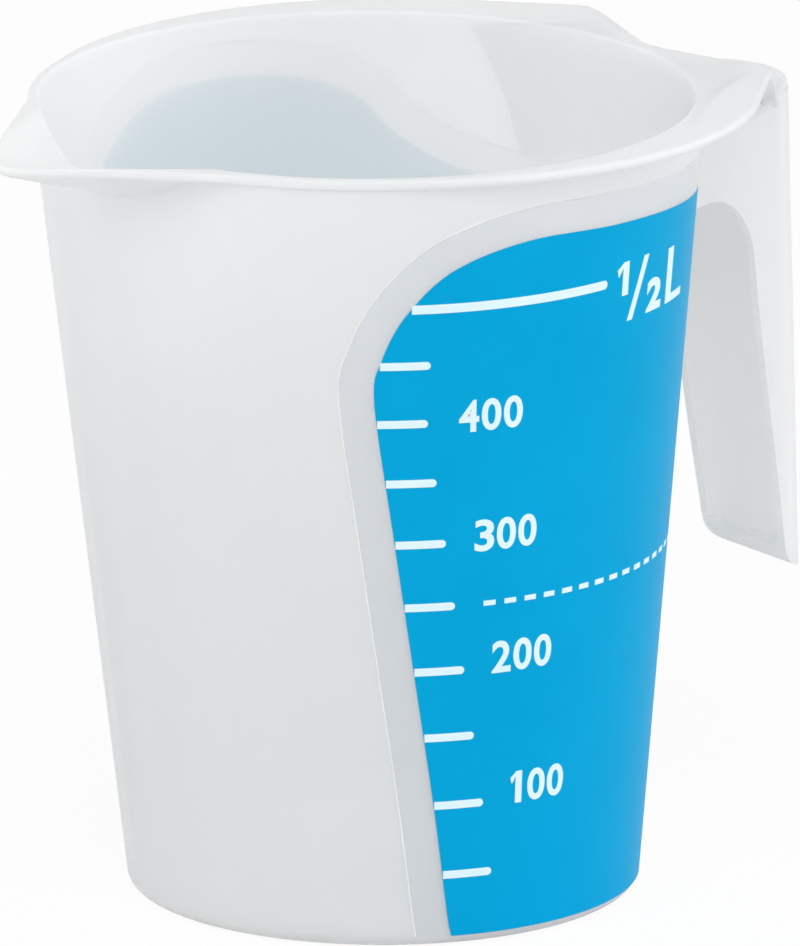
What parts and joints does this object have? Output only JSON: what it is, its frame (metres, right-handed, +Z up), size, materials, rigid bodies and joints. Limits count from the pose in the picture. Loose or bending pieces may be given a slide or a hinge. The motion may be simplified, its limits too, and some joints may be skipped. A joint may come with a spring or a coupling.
{
  "type": "baby formula pitcher",
  "caption": "Translucent half-litre measuring jug with a drawn-out spout, open hanging handle and blue graduated label panels.",
  "frame": {"origin": "centre of the base's underside, where the jug stands", "axes": "+X towards the handle, -X towards the spout, -Y the side with the full graduated label, +Z up"},
  "size_m": [0.14, 0.1044, 0.118],
  "materials": {
    "milky_polypropylene": "satin translucent natural polypropylene",
    "clear_label_film": "smooth clear film",
    "blue_label_ink": "smooth print",
    "white_label_ink": "smooth print"
  },
  "bodies": {
    "root": {"cup_base": "milky_polypropylene", "cup_wall": "milky_polypropylene", "pour_rim": "milky_polypropylene", "handle_bridge": "milky_polypropylene", "handle_grip": "milky_polypropylene", "front_label_film": "clear_label_film", "front_blue_panel": "blue_label_ink", "front_graduation_ticks": "white_label_ink", "half_litre_line": "white_label_ink", "quarter_litre_dashes": "white_label_ink", "front_numerals": "white_label_ink", "half_litre_mark": "white_label_ink", "rear_label_film": "clear_label_film", "rear_blue_panel": "blue_label_ink", "rear_graduation_ticks": "white_label_ink", "rear_numerals": "white_label_ink"}
  },
  "joints": []
}
